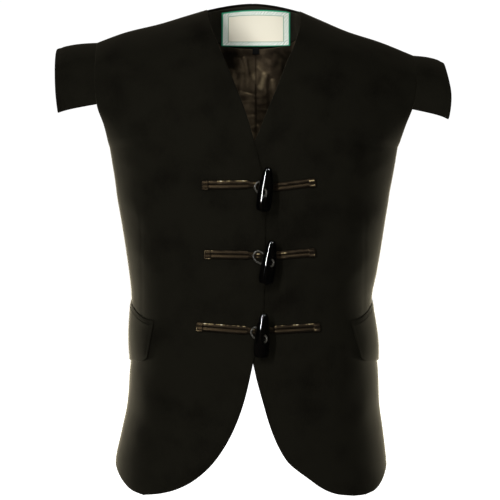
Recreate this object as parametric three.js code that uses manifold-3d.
// A sleeveless wool waistcoat, filled out and hollow, with short shoulder wings, two pocket
// flaps, rounded cutaway tails and three horn toggles on leather straps.
// Millimetres, +Z up. The front faces -Y and the wearer's left is +X. The origin lies between
// the side neck points, where the wearer's shoulders hold the garment.

import * as THREE from 'three';
import { mergeVertices } from 'three/addons/utils/BufferGeometryUtils.js';
import Module from 'manifold-3d';

// Driving dimensions
const woolWall = 2.2;
const liningWall = 1.0;
const facingWall = 1.2;
const labelWall = 0.8;
const seamGap = 0.3;
const layerGap = 0.4;
const overlapGap = 0.8;
const chestLevel = -195;
const roundness = 0.87;
const shoulderSeamDepth = 4;
const neckHalfWidth = 70;
const neckBackDepth = 62;
const neckBackRise = 22;
const neckDepthRise = 0.138;
const neckEdgeAngle = 62;
const neckColumns = 1 / 3;
const neckEdgeShape = 1.75;
const armholeFrontBow = 60;
const armholeBackBow = 56;
const armholeBowShape = 0.62;
const backJoinLevel = -480;
const backHemAngle = 72;
const seamDistance = 150;

// Where the left front is pressed in under the right one: in full up to the first x and between
// the middle levels, and not at all past the others.
const lap = { fullX: 22, endX: 52, footEnd: -600, footFull: -545, topFull: -212, topEnd: -160 };

// The body, hem to chest. shift is how far a section leans to the wearer's left, and seamAngle
// is where the side seam lies, from the middle of the front.
const sections = [
  { name: 'tail hem', z: -705, halfWidth: 205.5, front: 118, back: 114, shift: 0.5, seamAngle: 108 },
  { name: 'tail', z: -660, halfWidth: 202.5, front: 120, back: 117, shift: -3, seamAngle: 108 },
  { name: 'seat', z: -618, halfWidth: 195.8, front: 121, back: 119, shift: -1, seamAngle: 108 },
  { name: 'hip', z: -573, halfWidth: 188.3, front: 120, back: 118, shift: 0.5, seamAngle: 108 },
  { name: 'high hip', z: -513, halfWidth: 184.5, front: 117, back: 113, shift: 1.5, seamAngle: 108 },
  { name: 'waist', z: -423, halfWidth: 180, front: 113, back: 104, shift: -2, seamAngle: 108 },
  { name: 'high waist', z: -378, halfWidth: 186, front: 113, back: 104, shift: 0, seamAngle: 107 },
  { name: 'ribs', z: -333, halfWidth: 193, front: 115, back: 108, shift: 0.5, seamAngle: 104 },
  { name: 'low chest', z: -273, halfWidth: 202.5, front: 119, back: 114, shift: 0, seamAngle: 99 },
  { name: 'high chest', z: -228, halfWidth: 210, front: 122, back: 119, shift: 1, seamAngle: 94 },
  { name: 'underarm', z: -195, halfWidth: 215.5, front: 123, back: 121, shift: 1, seamAngle: 90 },
];

// Distance of each armhole edge from the middle, from underarm to shoulder tip.
const armholes = [
  { name: 'underarm', z: -195, right: -214.5, left: 216.5 },
  { name: 'low edge', z: -165, right: -220, left: 225 },
  { name: 'wing foot', z: -135, right: -229.5, left: 235.5 },
  { name: 'middle', z: -95, right: -233, left: 241 },
  { name: 'tip', z: -38, right: -234, left: 240 },
];

// The shoulder seams, from neck to tip. The left shoulder hangs lower.
const shoulders = [
  { name: 'neck', reach: 70, right: 12, left: 10 },
  { name: 'inner', reach: 100, right: 3, left: -3 },
  { name: 'middle', reach: 140, right: -9, left: -20 },
  { name: 'outer', reach: 190, right: -21, left: -36 },
  { name: 'tip', reach: 240, right: -39, left: -56 },
];

// Inner edge of the right front: tail, cutaway, closing edge and neckline.
const rightEdge = [
  { name: 'tail tip', z: -703, x: -160 },
  { name: 'tail', z: -700, x: -138 },
  { name: 'tail', z: -693, x: -113 },
  { name: 'tail', z: -678, x: -85 },
  { name: 'cutaway', z: -649, x: -54.7 },
  { name: 'cutaway', z: -606, x: -28.9 },
  { name: 'cutaway', z: -563, x: -13.1 },
  { name: 'cutaway', z: -520, x: -3.1 },
  { name: 'apex', z: -501, x: 0.5 },
  { name: 'closing', z: -468, x: 7.3 },
  { name: 'closing', z: -432, x: 13.8 },
  { name: 'closing', z: -320, x: 16.4 },
  { name: 'closing', z: -250, x: 15.5 },
  { name: 'closing', z: -226, x: 9 },
  { name: 'neck foot', z: -190, x: 0 },
  { name: 'neckline', z: -154, x: -10.3 },
  { name: 'neckline', z: -119, x: -23.3 },
  { name: 'neckline', z: -86, x: -36.5 },
  { name: 'neckline', z: -49, x: -51.6 },
  { name: 'neckline', z: -14, x: -65 },
  { name: 'side neck', z: 12, x: -70 },
];

// Inner edge of the left front. Its closing edge lies under the right front.
const leftEdge = [
  { name: 'tail tip', z: -703, x: 146 },
  { name: 'tail', z: -700, x: 124 },
  { name: 'tail', z: -693, x: 105 },
  { name: 'tail', z: -678, x: 83 },
  { name: 'cutaway', z: -649, x: 48.5 },
  { name: 'cutaway', z: -606, x: 27 },
  { name: 'cutaway', z: -563, x: 14 },
  { name: 'cutaway', z: -534, x: 6 },
  { name: 'apex', z: -512, x: 1 },
  { name: 'closing', z: -480, x: -9 },
  { name: 'closing', z: -440, x: -15 },
  { name: 'closing', z: -260, x: -15 },
  { name: 'closing', z: -215, x: -7 },
  { name: 'neck foot', z: -190, x: 4.5 },
  { name: 'neckline', z: -154, x: 19 },
  { name: 'neckline', z: -119, x: 33.3 },
  { name: 'neckline', z: -81, x: 48 },
  { name: 'neckline', z: -49, x: 61 },
  { name: 'neckline', z: -15, x: 70 },
  { name: 'side neck', z: 10, x: 71 },
];

// The front hem's rounded corner, as the angle at which the hem reaches each level.
const hemCorner = [
  { name: 'tail tip', z: -703, angle: 51 },
  { name: 'tail', z: -699, angle: 58 },
  { name: 'corner', z: -687, angle: 68 },
  { name: 'corner', z: -675, angle: 77 },
  { name: 'corner', z: -663, angle: 91 },
  { name: 'side seam', z: -656, angle: 108 },
];

// The back hem: a centre arch between two tails, by angle from the middle of the back.
const backHem = [
  { name: 'arch top', angle: 0, z: -498 },
  { name: 'arch', angle: 3, z: -510 },
  { name: 'arch', angle: 7, z: -556 },
  { name: 'arch', angle: 12, z: -606 },
  { name: 'arch', angle: 18, z: -650 },
  { name: 'tail', angle: 26, z: -682 },
  { name: 'tail', angle: 38, z: -699 },
  { name: 'tail', angle: 52, z: -701 },
  { name: 'corner', angle: 64, z: -678 },
  { name: 'side seam', angle: 72, z: -656 },
];

// Levels of the grid rows, hem to chest, and the turn of the rows from chest to shoulder.
const frontLevels = [
  -703, -701, -697, -691, -683, -675, -667, -656, -632, -606, -580, -550, -520,
  -509, -485, -460, -430, -400, -378, -355, -333, -300, -273, -255, -228, -195,
];
const backLevels = [-480, -460, -430, -400, -378, -355, -333, -300, -273, -255, -228, -195];
const hemRows = 7;
const shoulderRows = 9;
const frontColumns = 12;
const backColumns = 24;

const degree = Math.PI / 180;
const wool = { color: 0x151512, roughness: 0.95, metalness: 0 };
const satin = { color: 0x37302a, roughness: 0.45, metalness: 0 };
const leather = { color: 0x14110f, roughness: 0.35, metalness: 0 };
const horn = { color: 0x0b0a0a, roughness: 0.12, metalness: 0 };
const cordCotton = { color: 0x10100f, roughness: 0.6, metalness: 0 };
const labelCloth = { color: 0xd9dccb, roughness: 0.8, metalness: 0 };
const tapeCloth = { color: 0x0e0e0e, roughness: 0.8, metalness: 0 };

const garment = new THREE.Group();

// A smooth curve through one column of a table, without overshoot.
function follow(table, along, column, at) {
  const last = table.length - 1;
  if (at <= table[0][along]) return table[0][column];
  if (at >= table[last][along]) return table[last][column];
  let row = 0;
  while (at > table[row + 1][along]) row += 1;
  const step = (i) => table[i + 1][along] - table[i][along];
  const rise = (i) => (table[i + 1][column] - table[i][column]) / step(i);
  const slope = (i) => {
    if (i === 0) return rise(0);
    if (i === last) return rise(last - 1);
    const product = rise(i - 1) * rise(i);
    return product <= 0 ? 0 : (2 * product) / (rise(i - 1) + rise(i));
  };
  const t = (at - table[row][along]) / step(row);
  const start = table[row][column];
  const end = table[row + 1][column];
  const bend = t * t * (3 - 2 * t);
  const leave = t * (1 - t) * (1 - t) * slope(row) * step(row);
  const arrive = t * t * (1 - t) * slope(row + 1) * step(row);
  return start + (end - start) * bend + leave - arrive;
}

const mix = (a, b, t) => a + (b - a) * t;

function ease(from, to, at) {
  const t = THREE.MathUtils.clamp((at - from) / (to - from), 0, 1);
  return t * t * (3 - 2 * t);
}

const rounded = (value) => Math.sign(value) * Math.abs(value) ** roundness;

// The body's surface by angle from the middle of the front (positive to +X) and level.
function ringPoint(angle, z) {
  const halfWidth = follow(sections, 'z', 'halfWidth', z);
  const reach = Math.cos(angle) > 0 ? 'front' : 'back';
  const depth = follow(sections, 'z', reach, z);
  const shift = follow(sections, 'z', 'shift', z);
  const x = shift + halfWidth * rounded(Math.sin(angle));
  return new THREE.Vector3(x, -depth * rounded(Math.cos(angle)), z);
}

// The angle on the front half at which the body has this x.
function ringAngle(x, z) {
  const halfWidth = follow(sections, 'z', 'halfWidth', z);
  const shift = follow(sections, 'z', 'shift', z);
  const ratio = THREE.MathUtils.clamp((x - shift) / halfWidth, -1, 1);
  return Math.asin(Math.sign(ratio) * Math.abs(ratio) ** (1 / roundness));
}

// The outward normal of a surface given by two parameters.
function normalOf(surface, a, b, stepA, stepB) {
  const alongA = surface(a + stepA, b).sub(surface(a - stepA, b));
  const alongB = surface(a, b + stepB).sub(surface(a, b - stepB));
  return alongA.cross(alongB).normalize();
}

function ringNormal(angle, z) {
  const normal = normalOf(ringPoint, angle, z, 0.01, 2);
  const outward = new THREE.Vector3(Math.sin(angle), -Math.cos(angle), 0);
  return normal.dot(outward) < 0 ? normal.negate() : normal;
}

const frontSides = {
  right: { side: -1, edge: rightEdge, column: 'right' },
  left: { side: 1, edge: leftEdge, column: 'left' },
};

// The angle of a side seam at a level, less half the gap between the two cloths.
const seamAt = (z) => follow(sections, 'z', 'seamAngle', z) * degree - seamGap / 2 / seamDistance;

// Angles of a front's inner edge and outer edge at a level below the chest.
function frontSpan(front, z) {
  const inner = ringAngle(follow(front.edge, 'z', 'x', z), z);
  const corner = follow(hemCorner, 'z', 'angle', z) * degree;
  return { inner, outer: front.side * Math.min(seamAt(z), corner) };
}

// How far the left front is pressed in where the right front lies over it.
function underlap(front, point) {
  if (front.side < 0) return 0;
  const across = 1 - ease(lap.fullX, lap.endX, point.x);
  const upwards = ease(lap.footEnd, lap.footFull, point.z);
  const downwards = 1 - ease(lap.topFull, lap.topEnd, point.z);
  return (woolWall + overlapGap) * across * upwards * downwards;
}

// The shoulder seam's level on one side.
const shoulderLevel = (column, x) => follow(shoulders, 'reach', column, Math.abs(x));

// How far the armhole edge bows forwards or backwards from underarm (0) to tip (1).
const roundBow = (share) => (
  Math.sign(1 - share) * Math.abs(Math.sin(Math.PI * share)) ** armholeBowShape
);

// A front above the chest, by share u across and turn over the shoulder.
function frontTop(front) {
  const span = frontSpan(front, chestLevel);
  const insideFoot = ringPoint(span.inner, chestLevel);
  const outsideFoot = ringPoint(span.outer, chestLevel);
  const neckX = front.edge[front.edge.length - 1].x;
  const tipX = follow(armholes, 'z', front.column, 0);
  return (u, turn) => {
    const foot = ringPoint(mix(span.inner, span.outer, u), chestLevel);
    const share = Math.sin(turn);
    const topX = mix(neckX, tipX, u);
    const topZ = shoulderLevel(front.column, topX);
    const innerZ = mix(chestLevel, shoulderLevel(front.column, neckX), share);
    const outerZ = mix(chestLevel, shoulderLevel(front.column, tipX), share);
    const innerX = follow(front.edge, 'z', 'x', innerZ);
    const outerX = follow(armholes, 'z', front.column, outerZ);
    const footRatio = (foot.x - insideFoot.x) / (outsideFoot.x - insideFoot.x);
    const ratio = mix(footRatio, u, ease(0, 1, share));
    const seamY = shoulderSeamDepth - seamGap;
    const bow = armholeFrontBow * roundBow(share) * u ** 3;
    const y = seamY + (foot.y - seamY) * Math.cos(turn) - bow;
    return new THREE.Vector3(mix(innerX, outerX, ratio), y, mix(chestLevel, topZ, share));
  };
}

const outerFoot = (column) => Math.abs(follow(armholes, 'z', column, chestLevel));

// The back above the chest, by share u from the middle (-1 to 1) and turn over the shoulder.
function backTop(u, turn) {
  const column = u < 0 ? 'right' : 'left';
  const side = u < 0 ? -1 : 1;
  const out = Math.abs(u);
  const foot = ringPoint(Math.PI - u * Math.PI / 2, chestLevel);
  const onNeck = Math.min(out / neckColumns, 1);
  const onShoulder = Math.max((out - neckColumns) / (1 - neckColumns), 0);
  const tipX = Math.abs(follow(armholes, 'z', column, 0));
  const topX = out < neckColumns ? neckHalfWidth * onNeck : mix(neckHalfWidth, tipX, onShoulder);
  const seamY = shoulderSeamDepth + seamGap;
  const topY = mix(seamY, neckBackDepth, Math.sqrt(Math.max(1 - onNeck ** 2, 0)));
  const neckLine = mix(neckBackRise, shoulderLevel(column, neckHalfWidth), onNeck ** neckEdgeShape);
  const neckZ = neckLine + neckDepthRise * (topY - seamY);
  const topZ = out < neckColumns ? neckZ : shoulderLevel(column, topX);
  const lastTurn = mix(neckEdgeAngle, 90, onNeck ** 2) * degree;
  const now = lastTurn * turn / (Math.PI / 2);
  const share = Math.sin(now) / Math.sin(lastTurn);
  const fall = (Math.cos(now) - Math.cos(lastTurn)) / (1 - Math.cos(lastTurn));
  const outerZ = mix(chestLevel, shoulderLevel(column, tipX), share);
  const outerX = Math.abs(follow(armholes, 'z', column, outerZ));
  const ratio = mix(Math.abs(foot.x) / outerFoot(column), topX / tipX, ease(0, 1, share));
  const bow = armholeBackBow * roundBow(share) * out ** 3;
  const y = topY + (foot.y - topY) * fall + bow;
  return new THREE.Vector3(side * outerX * ratio, y, mix(chestLevel, topZ, share));
}

// A surface's point and outward normal above the chest. At the shoulder seam the normal has no
// slope from front to back, so the two walls meet flat.
function topFrame(surface, u, turn) {
  const safeU = THREE.MathUtils.clamp(u, -0.998, 0.998);
  const normal = normalOf(surface, safeU, turn, 0.002, 0.01);
  const point = surface(u, turn);
  const inside = new THREE.Vector3(point.x / 2, shoulderSeamDepth, chestLevel - insideDrop);
  if (normal.dot(point.clone().sub(inside)) < 0) normal.negate();
  const onSeam = turn > Math.PI / 2 - 0.001 && Math.abs(point.x) > neckHalfWidth - 1;
  if (onSeam) normal.setY(0).normalize();
  return { point, normal };
}

const insideDrop = 50;
const turns = Array.from({ length: shoulderRows }, (_, i) => ((i + 1) / shoulderRows) * Math.PI / 2);

// The rows of a front as points with normals.
function frontRows(front) {
  const rows = frontLevels.map((z) => {
    const span = frontSpan(front, z);
    return Array.from({ length: frontColumns + 1 }, (_, i) => {
      const angle = mix(span.inner, span.outer, i / frontColumns);
      const normal = ringNormal(angle, z);
      const point = ringPoint(angle, z);
      return { point: point.addScaledVector(normal, -underlap(front, point)), normal };
    });
  });
  const surface = frontTop(front);
  turns.forEach((turn) => {
    rows.push(Array.from({ length: frontColumns + 1 }, (_, i) => {
      const { point, normal } = topFrame(surface, i / frontColumns, turn);
      return { point: point.addScaledVector(normal, -underlap(front, point)), normal };
    }));
  });
  return rows;
}

// The rows of the back as points with normals.
function backRows() {
  const share = (i) => (2 * i) / backColumns - 1;
  const atLevel = (u, z) => {
    const angle = Math.PI - u * (Math.PI - seamAt(z) - seamGap / seamDistance);
    return { point: ringPoint(angle, z), normal: ringNormal(angle, z) };
  };
  const hemOf = (u) => follow(backHem, 'angle', 'z', Math.abs(u) * backHemAngle);
  const columns = Array.from({ length: backColumns + 1 }, (_, i) => share(i));
  const rows = Array.from({ length: hemRows }, (_, i) => (
    columns.map((u) => atLevel(u, mix(hemOf(u), backJoinLevel, i / hemRows)))
  ));
  backLevels.forEach((z) => rows.push(columns.map((u) => atLevel(u, z))));
  turns.forEach((turn) => rows.push(columns.map((u) => topFrame(backTop, u, turn))));
  return rows;
}

const offset = (rows, distance) => rows.map((row) => row.map(({ point, normal }) => (
  point.clone().addScaledVector(normal, distance)
)));

// A closed wall between two grids of points with the same rows and columns.
function wallBetween(outer, inner) {
  const rowCount = outer.length;
  const columnCount = outer[0].length;
  const points = [...outer.flat(), ...inner.flat()];
  const half = rowCount * columnCount;
  const at = (r, c) => r * columnCount + c;
  const faces = [];
  const quad = (a, b, c, d) => faces.push(a, b, c, a, c, d);
  for (let r = 0; r < rowCount - 1; r += 1) {
    for (let c = 0; c < columnCount - 1; c += 1) {
      quad(at(r, c), at(r, c + 1), at(r + 1, c + 1), at(r + 1, c));
      quad(half + at(r, c), half + at(r + 1, c), half + at(r + 1, c + 1), half + at(r, c + 1));
    }
  }
  for (let c = 0; c < columnCount - 1; c += 1) {
    const top = rowCount - 1;
    quad(half + at(0, c), half + at(0, c + 1), at(0, c + 1), at(0, c));
    quad(at(top, c), at(top, c + 1), half + at(top, c + 1), half + at(top, c));
  }
  for (let r = 0; r < rowCount - 1; r += 1) {
    const end = columnCount - 1;
    quad(at(r, 0), at(r + 1, 0), half + at(r + 1, 0), half + at(r, 0));
    quad(half + at(r, end), half + at(r + 1, end), at(r + 1, end), at(r, end));
  }
  return solidFrom(points, faces);
}

// A geometry whose faces point out, whichever way they were listed.
function solidFrom(points, faces) {
  let volume = 0;
  for (let i = 0; i < faces.length; i += 3) {
    const [a, b, c] = [points[faces[i]], points[faces[i + 1]], points[faces[i + 2]]];
    volume += a.dot(b.clone().cross(c));
  }
  const turned = volume < 0 ? faces.slice().reverse() : faces;
  const geometry = new THREE.BufferGeometry();
  const numbers = points.flatMap((point) => [point.x, point.y, point.z]);
  geometry.setAttribute('position', new THREE.Float32BufferAttribute(numbers, 3));
  geometry.setIndex(turned);
  geometry.computeVertexNormals();
  return geometry;
}

function add(name, geometry, finish) {
  const mesh = new THREE.Mesh(geometry, new THREE.MeshStandardMaterial(finish));
  mesh.name = name;
  garment.add(mesh);
}

// Fronts and back

const frontGrids = {};
Object.entries(frontSides).forEach(([name, front]) => {
  const rows = frontRows(front);
  frontGrids[name] = rows;
  add(`front_${name}`, wallBetween(offset(rows, 0), offset(rows, -woolWall)), wool);
});

const backGrid = backRows();
add('back', wallBetween(offset(backGrid, 0), offset(backGrid, -woolWall)), wool);

// Lining and neck facing inside the back

const facingReach = 0.5;
const facingShare = { middle: 0.36, end: 0.32 };
const facingLines = 6;
const facingLastShare = 0.97;
const facingSlack = 0.4;
const sideNeckSlack = 0.7;
const liningFirstRow = 1;
const liningTopRows = 8;
const liningLastShare = 0.96;
const liningFacingGap = 0.012;
const liningTurnWidth = 0.17;
const liningSlack = 0.7;
const chestRow = hemRows + backLevels.length - 1;

// A point and normal between two rows of a grid, on its flat faces.
function betweenRows(rows, position, column) {
  const low = Math.min(Math.floor(position), rows.length - 2);
  const a = rows[low][column];
  const b = rows[low + 1][column];
  const t = position - low;
  return { point: a.point.clone().lerp(b.point, t), normal: a.normal.clone().lerp(b.normal, t) };
}

// The part of the back's turn that the neck facing covers at one column.
function facingDepth(column) {
  const out = Math.min(Math.abs((2 * column) / backColumns - 1) / facingReach, 1);
  return mix(facingShare.middle, facingShare.end, out * out);
}

function facingRows() {
  const first = Math.round((backColumns * (1 - facingReach)) / 2);
  const columns = Array.from({ length: backColumns - 2 * first + 1 }, (_, i) => first + i);
  return Array.from({ length: facingLines + 1 }, (_, r) => columns.map((column) => {
    const share = 1 - facingDepth(column) * (1 - r / facingLines);
    const place = chestRow + shoulderRows * Math.min(share, facingLastShare);
    const frame = betweenRows(backGrid, place, column);
    const out = Math.abs((2 * column) / backColumns - 1);
    const slack = facingSlack + sideNeckSlack * ease(0, neckColumns, out);
    frame.point.addScaledVector(frame.normal, -slack);
    return frame;
  }));
}

function liningRows() {
  const columns = Array.from({ length: backColumns - 1 }, (_, i) => i + 1);
  const rows = backGrid.slice(liningFirstRow, chestRow + 1)
    .map((row) => columns.map((column) => row[column]));
  for (let r = 1; r <= liningTopRows; r += 1) {
    rows.push(columns.map((column) => {
      const out = Math.abs((2 * column) / backColumns - 1);
      const past = ease(facingReach, facingReach + liningTurnWidth, out);
      const share = mix(1 - facingDepth(column) - liningFacingGap, liningLastShare, past);
      const place = chestRow + (shoulderRows * share * r) / liningTopRows;
      const frame = betweenRows(backGrid, place, column);
      frame.point.addScaledVector(frame.normal, -liningSlack * Math.min(r / 2, 1));
      return frame;
    }));
  }
  return rows;
}

const liningGrid = liningRows();
const insideBack = -woolWall - layerGap;
const liningInside = offset(liningGrid, insideBack - liningWall);
add('back_lining', wallBetween(offset(liningGrid, insideBack), liningInside), satin);

const facingGrid = facingRows();
const facingInside = offset(facingGrid, insideBack - facingWall);
add('neck_facing', wallBetween(offset(facingGrid, insideBack), facingInside), wool);

// Label and size tab on the neck facing

const label = { right: -48.5, left: 57.5, bottom: -32, top: 20.5, columns: 8, rows: 4 };
const labelCrown = 6.5;
const sizeTab = { right: -0.5, left: 9.5, bottom: -43.5, top: -34.5, columns: 2, rows: 1 };

// A patch on the inner face of the back, by x and level, standing off by a distance. Its top edge
// may be crowned.
function insidePatch(piece, crown, standOff, wall) {
  const grid = (distance) => Array.from({ length: piece.rows + 1 }, (_, r) => (
    Array.from({ length: piece.columns + 1 }, (__, c) => {
      const x = mix(piece.right, piece.left, c / piece.columns);
      const top = piece.top - crown * ((2 * c) / piece.columns - 1) ** 2;
      const z = mix(piece.bottom, top, r / piece.rows);
      return insideBackPoint(x, z, distance);
    })
  ));
  return wallBetween(grid(standOff), grid(standOff + wall));
}

const searchStart = 0.7;
const searchSteps = 12;
const columnSpacing = 18;

// The point on the back's faceted grid with this x and level, moved in by a distance. Each step
// follows the grid's own slopes from a first guess.
function insideBackPoint(x, z, distance) {
  const at = (row, column) => {
    const low = Math.floor(column);
    const a = betweenRows(backGrid, row, low);
    const b = betweenRows(backGrid, row, low + 1);
    const t = column - low;
    return a.point.lerp(b.point, t).addScaledVector(a.normal.lerp(b.normal, t), -distance);
  };
  let row = chestRow + shoulderRows * searchStart;
  let column = backColumns / 2 + x / columnSpacing;
  const nudge = 0.05;
  for (let i = 0; i < searchSteps; i += 1) {
    const here = at(row, column);
    const alongRow = at(row + nudge, column).sub(here).divideScalar(nudge);
    const alongColumn = at(row, column + nudge).sub(here).divideScalar(nudge);
    const missX = x - here.x;
    const missZ = z - here.z;
    const spread = alongRow.x * alongColumn.z - alongRow.z * alongColumn.x;
    row += (missX * alongColumn.z - missZ * alongColumn.x) / spread;
    column += (alongRow.x * missZ - alongRow.z * missX) / spread;
    row = THREE.MathUtils.clamp(row, chestRow, backGrid.length - 1.1);
  }
  return at(row, column);
}

const labelSlack = 1.15;
const onFacing = woolWall + layerGap + facingSlack + facingWall + seamGap + labelSlack;
add('neck_label', insidePatch(label, labelCrown, onFacing, labelWall), labelCloth);
const onLining = woolWall + layerGap + liningSlack + liningWall + seamGap + layerGap;
add('size_tab', insidePatch(sizeTab, 0, onLining, labelWall), tapeCloth);

// Shoulder wings

const wings = {
  right: { column: 'right', side: -1, reach: 56, topReach: 60, topDrop: 7, footDrop: 11 },
  left: { column: 'left', side: 1, reach: 52, topReach: 46, topDrop: 8, footDrop: 12 },
};
const wingFootTurn = { front: 0.255, back: 0.37 };
const wingColumns = 4;
const wingWall = 2.4;
const wingSeamGap = 0.6;
const wingInsideDrop = 40;
const wingFlare = 1.06;

// The armhole edge from the front foot over the shoulder tip to the back foot.
function armholeEdge(name) {
  const front = frontTop(frontSides[name]);
  const u = frontSides[name].side;
  const climb = (share) => {
    const foot = (share * Math.PI) / 2;
    return [foot, ...turns.filter((turn) => turn > foot + 0.02 && turn < Math.PI / 2 - 0.01)];
  };
  const frontEdge = climb(wingFootTurn.front).map((turn) => front(1, turn));
  const backEdge = climb(wingFootTurn.back).map((turn) => backTop(u, turn)).reverse();
  const tip = front(1, Math.PI / 2).setY(shoulderSeamDepth);
  return [...frontEdge, tip, ...backEdge];
}

// A wing by place along the armhole edge and share outwards.
function wingRows(name, wing) {
  const edge = armholeEdge(name);
  const last = edge.length - 1;
  const place = (i, out) => {
    const whole = THREE.MathUtils.clamp(i, 0, last);
    const low = Math.min(Math.floor(whole), last - 1);
    const seam = edge[low].clone().lerp(edge[low + 1], whole - low);
    const top = Math.sin((Math.PI * whole) / last) ** 2;
    const reach = mix(wing.reach, wing.topReach, top);
    const drop = mix(wing.footDrop, wing.topDrop, top);
    const x = seam.x + wing.side * (wingSeamGap + reach * out);
    const y = shoulderSeamDepth + (seam.y - shoulderSeamDepth) * mix(1, wingFlare, out);
    return new THREE.Vector3(x, y, seam.z - drop * out);
  };
  return edge.map((_, i) => Array.from({ length: wingColumns + 1 }, (__, c) => {
    const out = c / wingColumns;
    const inner = THREE.MathUtils.clamp(i, 0.5, last - 0.5);
    const alongEdge = place(inner + 0.5, out).sub(place(inner - 0.5, out));
    const alongOut = place(i, out + 0.1).sub(place(i, out - 0.1));
    const normal = alongEdge.cross(alongOut).normalize();
    const point = place(i, out);
    const inside = new THREE.Vector3(point.x, shoulderSeamDepth, point.z - wingInsideDrop);
    if (normal.dot(point.clone().sub(inside)) < 0) normal.negate();
    return { point, normal };
  }));
}

Object.entries(wings).forEach(([name, wing]) => {
  const rows = wingRows(name, wing);
  add(`wing_${name}`, wallBetween(offset(rows, 0), offset(rows, -wingWall)), wool);
});

// Pocket flaps and the jets above them

const flap = { frontTop: 50, frontBottom: 55, back: 104, bottom: -511, wall: 2.4, standOff: 0.9 };
const flapTop = { front: -457, side: -428, sideAngle: 92 };
const flapBulge = 2;
const flapCorner = 6;
const flapColumns = 9;
const flapRows = 5;
const jet = { height: 5, wall: 1.2, standOff: 1.3, gap: 0.8 };

// The pocket's top line rises towards the side.
const flapTopLevel = (angle) => (
  mix(flapTop.front, flapTop.side, ease(flap.frontTop, flapTop.sideAngle, angle))
);

// A patch on a front by angle and level, standing off by a function of its shares.
function sidePatch(side, columns, rows, place, standOff) {
  return Array.from({ length: rows + 1 }, (_, r) => (
    Array.from({ length: columns + 1 }, (__, c) => {
      const { angle, z } = place(c / columns, r / rows);
      const turn = side * angle * degree;
      const distance = standOff(c / columns, r / rows);
      return ringPoint(turn, z).addScaledVector(ringNormal(turn, z), distance);
    })
  ));
}

Object.entries(frontSides).forEach(([name, front]) => {
  const place = (across, up) => {
    const edge = mix(flap.frontBottom, flap.frontTop, up);
    const angle = mix(edge, flap.back, across);
    const corner = flapCorner * Math.abs(2 * across - 1) ** 8;
    return { angle, z: mix(flap.bottom + corner, flapTopLevel(angle), up) };
  };
  const lift = (across, up) => flap.standOff + flapBulge * Math.sin(Math.PI * across) * (1 - up ** 2);
  const inner = sidePatch(front.side, flapColumns, flapRows, place, lift);
  const outer = sidePatch(front.side, flapColumns, flapRows, place, (a, u) => lift(a, u) + flap.wall);
  add(`pocket_flap_${name}`, wallBetween(outer, inner), wool);

  const jetPlace = (across, up) => {
    const angle = mix(flap.frontTop, flap.back, across);
    return { angle, z: flapTopLevel(angle) + jet.gap + jet.height * up };
  };
  const jetInner = sidePatch(front.side, flapColumns, 1, jetPlace, () => jet.standOff);
  const jetOuter = sidePatch(front.side, flapColumns, 1, jetPlace, () => jet.standOff + jet.wall);
  add(`pocket_jet_${name}`, wallBetween(jetOuter, jetInner), wool);
});

// Leather straps

const straps = [
  { name: 'right_1', front: 'right', outerX: -73, outerZ: -255.3, innerX: 5.5, innerZ: -254.5 },
  { name: 'right_2', front: 'right', outerX: -69.7, outerZ: -354.5, innerX: 12, innerZ: -356 },
  { name: 'right_3', front: 'right', outerX: -81, outerZ: -458.5, innerX: 3, innerZ: -464.5 },
  { name: 'left_1', front: 'left', outerX: 89, outerZ: -251, innerX: 19.5, innerZ: -260 },
  { name: 'left_2', front: 'left', outerX: 89, outerZ: -351.5, innerX: 19.5, innerZ: -357.5 },
  { name: 'left_3', front: 'left', outerX: 96, outerZ: -459.5, innerX: 19, innerZ: -463.5 },
];
const strap = { width: 11.5, neckWidth: 8, neckFoot: -6.5, neckEase: 3, endLength: 9, standOff: 0.6 };
const neckLeastLength = 12;
const strapStations = 11;
const strapProfile = [
  { name: 'lower edge', across: -0.5, height: 1.1 },
  { name: 'lower ridge', across: -0.28, height: 2.2 },
  { name: 'groove', across: 0, height: 1.3 },
  { name: 'upper ridge', across: 0.28, height: 2.2 },
  { name: 'upper edge', across: 0.5, height: 1.1 },
];
const strapEndHeight = 0.7;
const strapNeckHeight = 1.4;

// The point of a front's faceted outer face that has this x and level.
function facePoint(rows, x, z) {
  const target = new THREE.Vector3(x, 0, z);
  const flat = (point) => new THREE.Vector3(point.x, 0, point.z);
  const share = new THREE.Vector3();
  for (let r = 0; r < frontLevels.length - 1; r += 1) {
    for (let c = 0; c < frontColumns; c += 1) {
      const [a, b] = [rows[r][c].point, rows[r][c + 1].point];
      const [d, e] = [rows[r + 1][c + 1].point, rows[r + 1][c].point];
      const halves = [[a, b, d], [a, d, e]];
      for (const [p, q, s] of halves) {
        THREE.Triangle.getBarycoord(target, flat(p), flat(q), flat(s), share);
        if (Math.min(share.x, share.y, share.z) >= -1e-6) {
          return new THREE.Vector3(x, p.y * share.x + q.y * share.y + s.y * share.z, z);
        }
      }
    }
  }
  throw new Error('the point is off the front');
}

// A point at a distance off a front's outer face.
function offFront(name, x, z, distance) {
  const normal = ringNormal(ringAngle(x, z), z);
  return facePoint(frontGrids[name], x, z).addScaledVector(normal, distance);
}

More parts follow.
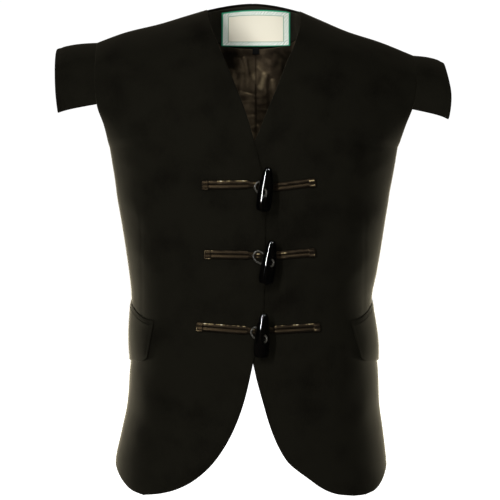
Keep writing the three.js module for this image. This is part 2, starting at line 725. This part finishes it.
function strapGrid(piece, raised) {
  const along = new THREE.Vector2(piece.outerX - piece.innerX, piece.outerZ - piece.innerZ);
  const length = along.length();
  along.normalize();
  const upwards = along.x > 0 ? 1 : -1;
  const neckLength = Math.max(neckLeastLength, upwards * (strap.neckFoot - piece.innerX));
  return Array.from({ length: strapStations + 1 }, (_, i) => {
    const from = (i / strapStations) * length;
    const neck = 1 - ease(neckLength - strap.neckEase, neckLength + strap.neckEase, from);
    const end = from > length - strap.endLength ? 1 : 0;
    const width = mix(strap.width, strap.neckWidth, neck);
    return strapProfile.map(({ across, height }) => {
      const x = piece.innerX + along.x * from - upwards * along.y * across * width;
      const z = piece.innerZ + along.y * from + upwards * along.x * across * width;
      const top = mix(height, strapNeckHeight, neck) + strapEndHeight * end;
      return offFront(piece.front, x, z, strap.standOff + (raised ? top : 0));
    });
  });
}

straps.forEach((piece) => {
  add(`strap_${piece.name}`, wallBetween(strapGrid(piece, true), strapGrid(piece, false)), leather);
});

// Horn toggles and their cords

const toggles = [
  { name: '1', x: 17.8, z: -262, lean: 7, sink: 0, holeX: -0.5, holeZ: -5, ring: -16, top: 10, foot: -5 },
  { name: '2', x: 22.5, z: -366, lean: 9, sink: 0, holeX: 4.5, holeZ: 0, ring: -23.5, top: 14, foot: -1 },
  { name: '3', x: 13.5, z: -470.5, lean: 4, sink: 0.5, holeX: 4, holeZ: -4, ring: -17, top: 11, foot: -4 },
];
const toggleFlatness = 0.62;
const toggleStandOff = 12.9;
const toggleSides = 12;
const toggleProfile = [
  { name: 'foot', height: -32, radius: 0 },
  { name: 'foot', height: -31, radius: 7 },
  { name: 'foot', height: -28.3, radius: 10.1 },
  { name: 'belly', height: -19.2, radius: 11.4 },
  { name: 'belly', height: -6.4, radius: 11.1 },
  { name: 'waist', height: 8.5, radius: 9.9 },
  { name: 'tip', height: 21.3, radius: 7.6 },
  { name: 'tip', height: 29.3, radius: 5.4 },
  { name: 'tip', height: 31.6, radius: 3.1 },
  { name: 'tip', height: 32, radius: 0 },
];
const holeHalfSpacing = 4.5;
const holeRadius = 2.65;
const holeSides = 10;
const holeLength = 30;
const cordRadius = 1.3;
const cordStations = 36;
const cordSides = 6;
const ringWidth = 5;
const ringOff = 4.3;
const behindOff = 4.1;
const backHoleOff = 6.6;
const frontHoleOff = 18.9;
const stitchOff = 21.8;
const stitchHalfLength = 2;
const stitchBow = 1.8;
const behindReach = 4;

// The cord's closed loop round the strap's neck and through the toggle's two holes, about the
// toggle's middle.
function cordLoop({ holeX, holeZ, ring, top, foot }) {
  const lowZ = holeZ - holeHalfSpacing;
  const highZ = holeZ + holeHalfSpacing;
  return [
    { name: 'ring top', x: ring + ringWidth, z: top, off: ringOff },
    { name: 'ring', x: ring, z: (top + foot) / 2, off: ringOff },
    { name: 'ring foot', x: ring + ringWidth, z: foot, off: ringOff },
    { name: 'behind', x: holeX - behindReach, z: lowZ, off: behindOff },
    { name: 'low hole', x: holeX, z: lowZ, off: backHoleOff },
    { name: 'low hole', x: holeX, z: lowZ, off: toggleStandOff },
    { name: 'low hole', x: holeX, z: lowZ, off: frontHoleOff },
    { name: 'stitch', x: holeX + stitchBow, z: holeZ - stitchHalfLength, off: stitchOff },
    { name: 'stitch', x: holeX + stitchBow, z: holeZ + stitchHalfLength, off: stitchOff },
    { name: 'high hole', x: holeX, z: highZ, off: frontHoleOff },
    { name: 'high hole', x: holeX, z: highZ, off: toggleStandOff },
    { name: 'high hole', x: holeX, z: highZ, off: backHoleOff },
    { name: 'behind', x: holeX - behindReach, z: highZ + 1, off: behindOff },
  ];
}

const wasm = await Module();
wasm.setup();

function toManifold(geometry) {
  const bare = geometry.clone();
  bare.deleteAttribute('normal');
  bare.deleteAttribute('uv');
  const merged = mergeVertices(bare);
  const vertProperties = Float32Array.from(merged.attributes.position.array);
  const triVerts = Uint32Array.from(merged.index.array);
  return new wasm.Manifold(new wasm.Mesh({ numProp: 3, vertProperties, triVerts }));
}

function fromManifold(solid) {
  const { vertProperties, triVerts } = solid.getMesh();
  const geometry = new THREE.BufferGeometry();
  geometry.setAttribute('position', new THREE.Float32BufferAttribute(vertProperties, 3));
  geometry.setIndex([...triVerts]);
  geometry.computeVertexNormals();
  return geometry;
}

// A toggle about its own middle: its length runs along Z and its holes along Y.
function toggleGeometry({ holeX, holeZ }) {
  const outline = toggleProfile.map(({ radius, height }) => new THREE.Vector2(radius, height));
  const body = new THREE.LatheGeometry(outline, toggleSides);
  body.scale(1, 1, toggleFlatness);
  body.rotateX(Math.PI / 2);
  let solid = toManifold(body);
  [holeZ - holeHalfSpacing, holeZ + holeHalfSpacing].forEach((z) => {
    const hole = new THREE.CylinderGeometry(holeRadius, holeRadius, holeLength, holeSides);
    hole.translate(holeX, 0, z);
    solid = solid.subtract(toManifold(hole));
  });
  return fromManifold(solid);
}

// A closed round cord through a loop of points.
function closedCord(points) {
  const path = new THREE.CatmullRomCurve3(points, true, 'centripetal');
  const frames = path.computeFrenetFrames(cordStations, true);
  const rings = Array.from({ length: cordStations }, (_, i) => {
    const centre = path.getPointAt(i / cordStations);
    return Array.from({ length: cordSides }, (__, side) => {
      const angle = (2 * Math.PI * side) / cordSides;
      return centre.clone()
        .addScaledVector(frames.normals[i], cordRadius * Math.cos(angle))
        .addScaledVector(frames.binormals[i], cordRadius * Math.sin(angle));
    });
  });
  const faces = [];
  const at = (i, side) => (i % cordStations) * cordSides + (side % cordSides);
  for (let i = 0; i < cordStations; i += 1) {
    for (let side = 0; side < cordSides; side += 1) {
      faces.push(at(i, side), at(i + 1, side), at(i + 1, side + 1));
      faces.push(at(i, side), at(i + 1, side + 1), at(i, side + 1));
    }
  }
  return solidFrom(rings.flat(), faces);
}

toggles.forEach((toggle) => {
  const { name, x, z, lean, sink } = toggle;
  const seat = ringPoint(ringAngle(x, z), z).y + sink;
  const body = toggleGeometry(toggle);
  body.rotateY(lean * degree);
  body.translate(x, seat - toggleStandOff, z);
  add(`toggle_${name}`, body, horn);

  const turned = cordLoop(toggle).map((place) => (
    new THREE.Vector3(place.x, seat - place.off, place.z)
      .applyAxisAngle(new THREE.Vector3(0, 1, 0), lean * degree)
      .add(new THREE.Vector3(x, 0, z))
  ));
  add(`toggle_cord_${name}`, closedCord(turned), cordCotton);
});

export default garment;
